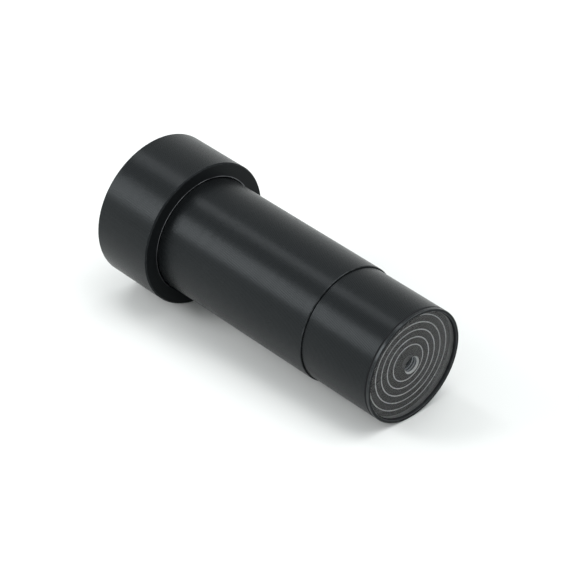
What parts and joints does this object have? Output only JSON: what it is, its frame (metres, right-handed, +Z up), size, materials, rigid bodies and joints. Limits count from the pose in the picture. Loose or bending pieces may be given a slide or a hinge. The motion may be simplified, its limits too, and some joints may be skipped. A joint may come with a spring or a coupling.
{
  "type": "viewing loupe",
  "caption": "Tubular viewing loupe: a wide eye cap with a lens pair, a straight black barrel, and a clear front disc with engraved rings around a centre hole.",
  "frame": {"origin": "on the optical axis, at the eye cap's front face, the shoulder that the barrel is pushed in up to", "axes": "+X along the optical axis, from the eye end to the ring disc; +Z up, with the loupe lying on its side"},
  "size_m": [0.0945, 0.04, 0.04],
  "materials": {
    "black_anodised": "satin",
    "clear_acrylic": "polished",
    "lens_glass": "polished",
    "ring_paint": "matte",
    "black_rubber": "matte"
  },
  "bodies": {
    "tube": {"main_tube": "black_anodised", "field_stop": "black_anodised"},
    "cap_ring": {"cap_o_ring": "black_rubber"},
    "cap": {"eye_cap": "black_anodised", "eye_lens_crown": "lens_glass", "eye_lens_flint": "lens_glass", "lens_gasket": "black_rubber", "lens_retaining_ring": "black_anodised"},
    "sleeve_ring": {"sleeve_o_ring": "black_rubber"},
    "front_cell": {"front_sleeve": "black_anodised", "front_bezel": "black_anodised", "ring_disc": "clear_acrylic", "ring_line_10mm": "ring_paint", "ring_line_14mm": "ring_paint", "ring_line_18mm": "ring_paint", "ring_line_22mm": "ring_paint", "ring_line_26mm": "ring_paint"}
  },
  "joints": [
    {"name": "cap_turn", "type": "hinge", "parent": "tube", "child": "cap_ring", "pos_m": [0, 0, 0], "axis": [-1, 0, 0], "range_deg": [0, 2160]},
    {"name": "cap_travel", "type": "slide", "parent": "cap_ring", "child": "cap", "axis": [-1, 0, 0], "range_m": [0, 0.00451]},
    {"name": "sleeve_travel", "type": "slide", "parent": "tube", "child": "sleeve_ring", "axis": [1, 0, 0], "range_m": [0, 0.00451]},
    {"name": "sleeve_turn", "type": "hinge", "parent": "sleeve_ring", "child": "front_cell", "pos_m": [0.0525, 0, 0], "axis": [1, 0, 0], "range_deg": [0, 2160]}
  ],
  "couplings": [
    {"joint": "cap_travel", "follows": "cap_turn", "m_per_rad": 0.00011937},
    {"joint": "sleeve_travel", "follows": "sleeve_turn", "m_per_rad": 0.00011937}
  ]
}
